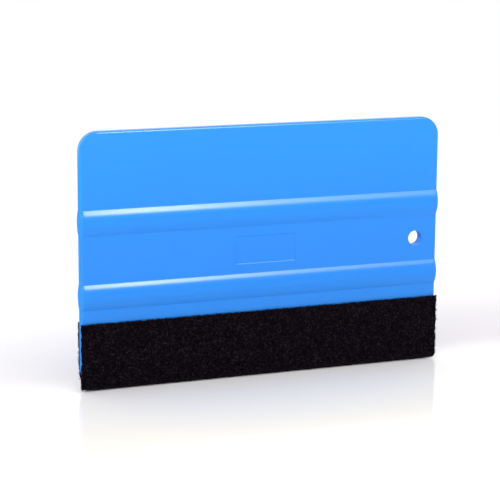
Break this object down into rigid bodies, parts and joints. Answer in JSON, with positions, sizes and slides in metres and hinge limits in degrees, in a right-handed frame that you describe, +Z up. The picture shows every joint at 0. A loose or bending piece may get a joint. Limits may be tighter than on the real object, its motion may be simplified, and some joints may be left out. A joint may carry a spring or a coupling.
{
  "type": "squeegee applicator",
  "caption": "Flat moulded plastic card squeegee with stiffening ribs, a hang hole and a felt-wrapped edge, for smoothing vinyl film.",
  "frame": {"origin": "middle of the felt's foot, on the surface that the tool stands on", "axes": "+X along the felt edge, towards the end with the hang hole; +Y from the front face with the blank panel towards the back; +Z up, from the felt edge to the card's free edge"},
  "size_m": [0.1506, 0.0072, 0.0999],
  "materials": {
    "card_plastic": "moulded polypropylene, semi-gloss, opaque blue",
    "adhesive": "thin double-sided adhesive film, pale grey",
    "felt": "needled black felt with a short loose nap"
  },
  "bodies": {
    "root": {"card_body": "card_plastic", "adhesive_film": "adhesive", "felt_strip": "felt"}
  },
  "joints": []
}
